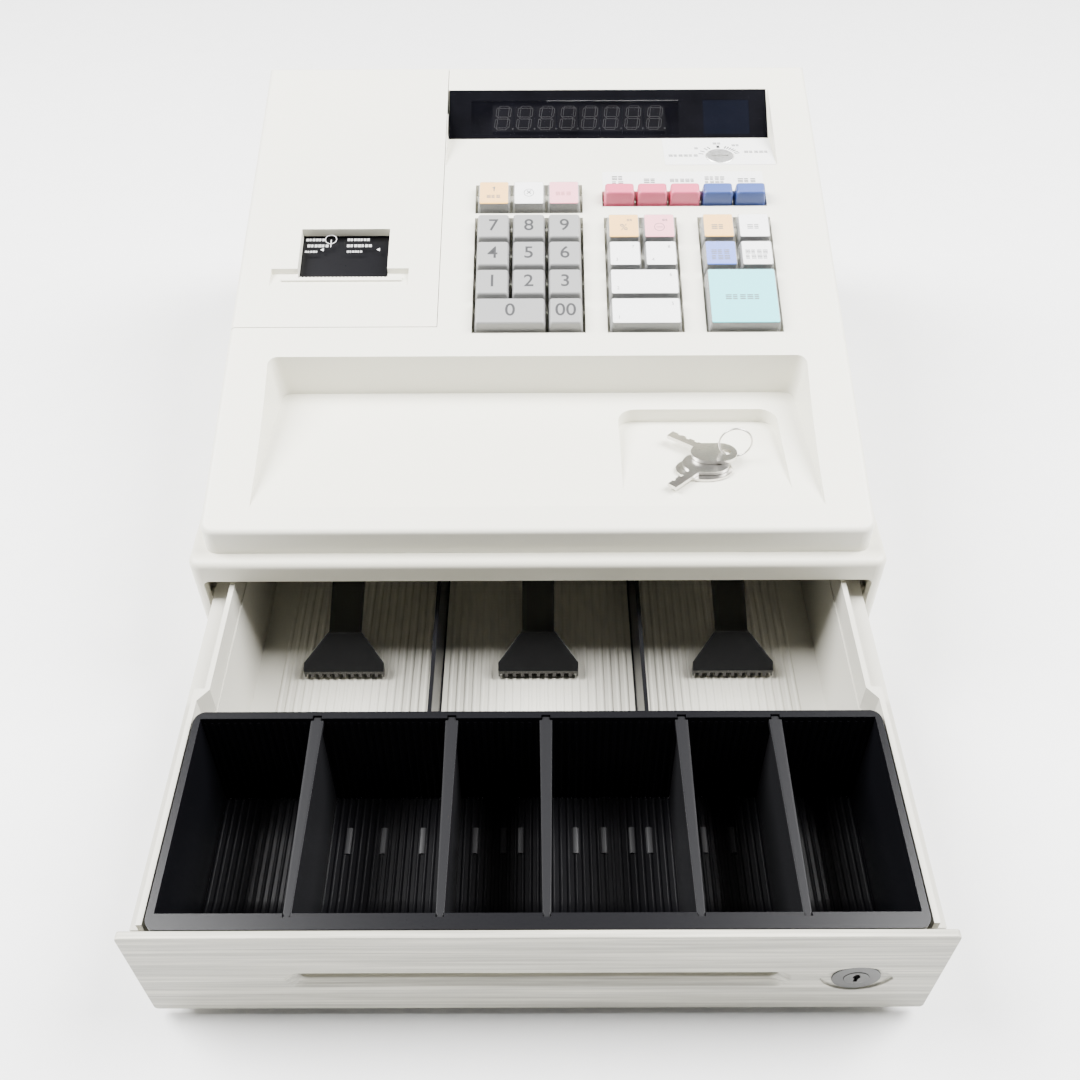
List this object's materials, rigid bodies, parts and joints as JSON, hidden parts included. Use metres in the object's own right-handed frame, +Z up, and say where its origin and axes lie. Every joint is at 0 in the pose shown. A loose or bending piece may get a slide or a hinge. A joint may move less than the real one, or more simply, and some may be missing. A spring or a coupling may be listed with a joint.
{
  "type": "electronic cash register",
  "caption": "Compact electronic cash register with a sloped keyboard case, display, receipt printer and a cash drawer with coin cups and note clips.",
  "frame": {"origin": "middle of the footprint with the drawer open, on the surface the feet rest on", "axes": "+Z up, +X to the right of the person at the keys, -Y out of the drawer's front"},
  "size_m": [0.335, 0.5394, 0.185],
  "materials": {
    "cabinet_plastic": "fine textured moulded plastic",
    "upper_plastic": "fine textured moulded plastic",
    "drawer_plastic": "satin moulded plastic",
    "drawer_front_plastic": "moulded with fine level ribs",
    "foot_rubber": "matt",
    "screw_steel": "zinc plated",
    "solenoid_steel": "plated",
    "transformer_iron": "varnished laminations",
    "window_smoke": "smoked clear acrylic",
    "display_black": "black digit blocks",
    "mat_rubber": "silicone",
    "board_green": "solder mask",
    "printer_black": "satin",
    "lock_metal": "satin nickel",
    "shaft_steel": "ground",
    "tray_black": "satin black moulded plastic",
    "clip_black": "satin black moulded plastic",
    "roller_nylon": "nylon",
    "latch_steel": "zinc plated",
    "platen_rubber": "ground",
    "paper_white": "thermal paper",
    "switch_metal": "satin",
    "key_steel": "nickel plated",
    "number_key_grey": "grey cap with dark figure",
    "card_key_yellow": "clear cap over a coloured card",
    "card_key_pink": "clear cap over a coloured card",
    "card_key_white": "clear cap over a coloured card",
    "card_key_blue": "clear cap over a coloured card",
    "card_key_cyan": "clear cap over a coloured card",
    "function_key_rose": "solid coloured plastic",
    "function_key_blue": "solid coloured plastic"
  },
  "bodies": {
    "case": {"lower_case": "cabinet_plastic", "rubber_feet": "foot_rubber", "case_screws": "screw_steel", "latch_solenoid": "solenoid_steel", "power_transformer": "transformer_iron", "upper_case": "upper_plastic", "display_window": "window_smoke", "display_board": "display_black", "rear_display_window": "window_smoke", "key_mat": "mat_rubber", "circuit_boards": "board_green", "printer_frame": "printer_black"},
    "drawer": {"drawer_body": "drawer_plastic", "drawer_front": "drawer_front_plastic", "lock_housing": "lock_metal", "clip_shaft": "shaft_steel", "bill_dividers": "tray_black"},
    "coin_tray": {"coin_tray": "tray_black", "coin_dividers": "tray_black"},
    "lock_rotor": {"lock_rotor": "lock_metal"},
    "bill_clip_left": {"bill_clip_left": "clip_black"},
    "bill_clip_middle": {"bill_clip_middle": "clip_black"},
    "bill_clip_right": {"bill_clip_right": "clip_black"},
    "drawer_rollers": {"drawer_rollers": "roller_nylon"},
    "drawer_latch": {"drawer_latch": "latch_steel"},
    "printer_cover": {"printer_cover": "upper_plastic"},
    "platen_roller": {"platen_roller": "platen_rubber"},
    "paper_roll": {"paper_roll": "paper_white"},
    "mode_switch_rotor": {"mode_switch_rotor": "switch_metal"},
    "register_keys": {"register_keys": "key_steel"},
    "key_0": {"key_0": "number_key_grey"},
    "key_00": {"key_00": "number_key_grey"},
    "key_1": {"key_1": "number_key_grey"},
    "key_2": {"key_2": "number_key_grey"},
    "key_3": {"key_3": "number_key_grey"},
    "key_4": {"key_4": "number_key_grey"},
    "key_5": {"key_5": "number_key_grey"},
    "key_6": {"key_6": "number_key_grey"},
    "key_7": {"key_7": "number_key_grey"},
    "key_8": {"key_8": "number_key_grey"},
    "key_9": {"key_9": "number_key_grey"},
    "key_feed": {"key_feed": "card_key_yellow"},
    "key_multiply": {"key_multiply": "card_key_white"},
    "key_clear": {"key_clear": "card_key_pink"},
    "key_percent": {"key_percent": "card_key_yellow"},
    "key_minus": {"key_minus": "card_key_pink"},
    "key_department_1": {"key_department_1": "card_key_white"},
    "key_department_2": {"key_department_2": "card_key_white"},
    "key_department_3": {"key_department_3": "card_key_white"},
    "key_department_4": {"key_department_4": "card_key_white"},
    "key_credit": {"key_credit": "card_key_yellow"},
    "key_cheque": {"key_cheque": "card_key_white"},
    "key_shift": {"key_shift": "card_key_blue"},
    "key_subtotal": {"key_subtotal": "card_key_white"},
    "key_cash": {"key_cash": "card_key_cyan"},
    "key_function_1": {"key_function_1": "function_key_rose"},
    "key_function_2": {"key_function_2": "function_key_rose"},
    "key_function_3": {"key_function_3": "function_key_rose"},
    "key_function_4": {"key_function_4": "function_key_blue"},
    "key_function_5": {"key_function_5": "function_key_blue"}
  },
  "joints": [
    {"name": "drawer_slide", "type": "slide", "parent": "case", "child": "drawer", "axis": [0, -1, 0], "range_m": [-0.1794, 0]},
    {"name": "coin_tray_lift", "type": "slide", "parent": "drawer", "child": "coin_tray", "axis": [0, 0, 1], "range_m": [0, 0.09]},
    {"name": "drawer_lock_turn", "type": "hinge", "parent": "drawer", "child": "lock_rotor", "pos_m": [0.1275, -0.2697, 0.034], "axis": [0, 1, 0], "range_deg": [0, 90]},
    {"name": "bill_clip_left_lift", "type": "hinge", "parent": "drawer", "child": "bill_clip_left", "pos_m": [-0.0995, 0.0017, 0.052], "axis": [-1, 0, 0], "range_deg": [0, 22], "stiffness_Nm_per_rad": 0.25, "springref_deg": -17.19},
    {"name": "bill_clip_middle_lift", "type": "hinge", "parent": "drawer", "child": "bill_clip_middle", "pos_m": [0, 0.0017, 0.052], "axis": [-1, 0, 0], "range_deg": [0, 22], "stiffness_Nm_per_rad": 0.25, "springref_deg": -17.19},
    {"name": "bill_clip_right_lift", "type": "hinge", "parent": "drawer", "child": "bill_clip_right", "pos_m": [0.0995, 0.0017, 0.052], "axis": [-1, 0, 0], "range_deg": [0, 22], "stiffness_Nm_per_rad": 0.25, "springref_deg": -17.19},
    {"name": "drawer_roller_spin", "type": "hinge", "parent": "case", "child": "drawer_rollers", "pos_m": [0, -0.0763, 0.049], "axis": [1, 0, 0], "continuous": true},
    {"name": "drawer_latch_swing", "type": "hinge", "parent": "case", "child": "drawer_latch", "pos_m": [0.06, 0.2337, 0.07], "axis": [-1, 0, 0], "range_deg": [-12, 0], "stiffness_Nm_per_rad": 0.03, "springref_deg": 14.32},
    {"name": "printer_cover_lift", "type": "slide", "parent": "case", "child": "printer_cover", "axis": [0, 0, 1], "range_m": [0, 0.07]},
    {"name": "platen_spin", "type": "hinge", "parent": "case", "child": "platen_roller", "pos_m": [-0.104, 0.0597, 0.127], "axis": [1, 0, 0], "continuous": true},
    {"name": "paper_roll_spin", "type": "hinge", "parent": "case", "child": "paper_roll", "pos_m": [-0.104, 0.1517, 0.1225], "axis": [1, 0, 0], "continuous": true},
    {"name": "mode_switch_turn", "type": "hinge", "parent": "case", "child": "mode_switch_rotor", "pos_m": [0.104, 0.1513, 0.1636], "axis": [0, 0, 1], "range_deg": [-60, 60]},
    {"name": "register_keys_lift", "type": "slide", "parent": "case", "child": "register_keys", "axis": [0, 0, 1], "range_m": [0, 0.06]},
    {"name": "key_0_press", "type": "slide", "parent": "case", "child": "key_0", "axis": [0, 0.2756, -0.9613], "range_m": [0, 0.003], "stiffness_N_per_m": 180, "springref_m": -0.002},
    {"name": "key_00_press", "type": "slide", "parent": "case", "child": "key_00", "axis": [0, 0.2756, -0.9613], "range_m": [0, 0.003], "stiffness_N_per_m": 180, "springref_m": -0.002},
    {"name": "key_1_press", "type": "slide", "parent": "case", "child": "key_1", "axis": [0, 0.2756, -0.9613], "range_m": [0, 0.003], "stiffness_N_per_m": 180, "springref_m": -0.002},
    {"name": "key_2_press", "type": "slide", "parent": "case", "child": "key_2", "axis": [0, 0.2756, -0.9613], "range_m": [0, 0.003], "stiffness_N_per_m": 180, "springref_m": -0.002},
    {"name": "key_3_press", "type": "slide", "parent": "case", "child": "key_3", "axis": [0, 0.2756, -0.9613], "range_m": [0, 0.003], "stiffness_N_per_m": 180, "springref_m": -0.002},
    {"name": "key_4_press", "type": "slide", "parent": "case", "child": "key_4", "axis": [0, 0.2756, -0.9613], "range_m": [0, 0.003], "stiffness_N_per_m": 180, "springref_m": -0.002},
    {"name": "key_5_press", "type": "slide", "parent": "case", "child": "key_5", "axis": [0, 0.2756, -0.9613], "range_m": [0, 0.003], "stiffness_N_per_m": 180, "springref_m": -0.002},
    {"name": "key_6_press", "type": "slide", "parent": "case", "child": "key_6", "axis": [0, 0.2756, -0.9613], "range_m": [0, 0.003], "stiffness_N_per_m": 180, "springref_m": -0.002},
    {"name": "key_7_press", "type": "slide", "parent": "case", "child": "key_7", "axis": [0, 0.2756, -0.9613], "range_m": [0, 0.003], "stiffness_N_per_m": 180, "springref_m": -0.002},
    {"name": "key_8_press", "type": "slide", "parent": "case", "child": "key_8", "axis": [0, 0.2756, -0.9613], "range_m": [0, 0.003], "stiffness_N_per_m": 180, "springref_m": -0.002},
    {"name": "key_9_press", "type": "slide", "parent": "case", "child": "key_9", "axis": [0, 0.2756, -0.9613], "range_m": [0, 0.003], "stiffness_N_per_m": 180, "springref_m": -0.002},
    {"name": "key_feed_press", "type": "slide", "parent": "case", "child": "key_feed", "axis": [0, 0.2756, -0.9613], "range_m": [0, 0.003], "stiffness_N_per_m": 180, "springref_m": -0.002},
    {"name": "key_multiply_press", "type": "slide", "parent": "case", "child": "key_multiply", "axis": [0, 0.2756, -0.9613], "range_m": [0, 0.003], "stiffness_N_per_m": 180, "springref_m": -0.002},
    {"name": "key_clear_press", "type": "slide", "parent": "case", "child": "key_clear", "axis": [0, 0.2756, -0.9613], "range_m": [0, 0.003], "stiffness_N_per_m": 180, "springref_m": -0.002},
    {"name": "key_percent_press", "type": "slide", "parent": "case", "child": "key_percent", "axis": [0, 0.2756, -0.9613], "range_m": [0, 0.003], "stiffness_N_per_m": 180, "springref_m": -0.002},
    {"name": "key_minus_press", "type": "slide", "parent": "case", "child": "key_minus", "axis": [0, 0.2756, -0.9613], "range_m": [0, 0.003], "stiffness_N_per_m": 180, "springref_m": -0.002},
    {"name": "key_department_1_press", "type": "slide", "parent": "case", "child": "key_department_1", "axis": [0, 0.2756, -0.9613], "range_m": [0, 0.003], "stiffness_N_per_m": 180, "springref_m": -0.002},
    {"name": "key_department_2_press", "type": "slide", "parent": "case", "child": "key_department_2", "axis": [0, 0.2756, -0.9613], "range_m": [0, 0.003], "stiffness_N_per_m": 180, "springref_m": -0.002},
    {"name": "key_department_3_press", "type": "slide", "parent": "case", "child": "key_department_3", "axis": [0, 0.2756, -0.9613], "range_m": [0, 0.003], "stiffness_N_per_m": 180, "springref_m": -0.002},
    {"name": "key_department_4_press", "type": "slide", "parent": "case", "child": "key_department_4", "axis": [0, 0.2756, -0.9613], "range_m": [0, 0.003], "stiffness_N_per_m": 180, "springref_m": -0.002},
    {"name": "key_credit_press", "type": "slide", "parent": "case", "child": "key_credit", "axis": [0, 0.2756, -0.9613], "range_m": [0, 0.003], "stiffness_N_per_m": 180, "springref_m": -0.002},
    {"name": "key_cheque_press", "type": "slide", "parent": "case", "child": "key_cheque", "axis": [0, 0.2756, -0.9613], "range_m": [0, 0.003], "stiffness_N_per_m": 180, "springref_m": -0.002},
    {"name": "key_shift_press", "type": "slide", "parent": "case", "child": "key_shift", "axis": [0, 0.2756, -0.9613], "range_m": [0, 0.003], "stiffness_N_per_m": 180, "springref_m": -0.002},
    {"name": "key_subtotal_press", "type": "slide", "parent": "case", "child": "key_subtotal", "axis": [0, 0.2756, -0.9613], "range_m": [0, 0.003], "stiffness_N_per_m": 180, "springref_m": -0.002},
    {"name": "key_cash_press", "type": "slide", "parent": "case", "child": "key_cash", "axis": [0, 0.2756, -0.9613], "range_m": [0, 0.003], "stiffness_N_per_m": 180, "springref_m": -0.002},
    {"name": "key_function_1_press", "type": "slide", "parent": "case", "child": "key_function_1", "axis": [0, 0.2756, -0.9613], "range_m": [0, 0.003], "stiffness_N_per_m": 180, "springref_m": -0.002},
    {"name": "key_function_2_press", "type": "slide", "parent": "case", "child": "key_function_2", "axis": [0, 0.2756, -0.9613], "range_m": [0, 0.003], "stiffness_N_per_m": 180, "springref_m": -0.002},
    {"name": "key_function_3_press", "type": "slide", "parent": "case", "child": "key_function_3", "axis": [0, 0.2756, -0.9613], "range_m": [0, 0.003], "stiffness_N_per_m": 180, "springref_m": -0.002},
    {"name": "key_function_4_press", "type": "slide", "parent": "case", "child": "key_function_4", "axis": [0, 0.2756, -0.9613], "range_m": [0, 0.003], "stiffness_N_per_m": 180, "springref_m": -0.002},
    {"name": "key_function_5_press", "type": "slide", "parent": "case", "child": "key_function_5", "axis": [0, 0.2756, -0.9613], "range_m": [0, 0.003], "stiffness_N_per_m": 180, "springref_m": -0.002}
  ]
}
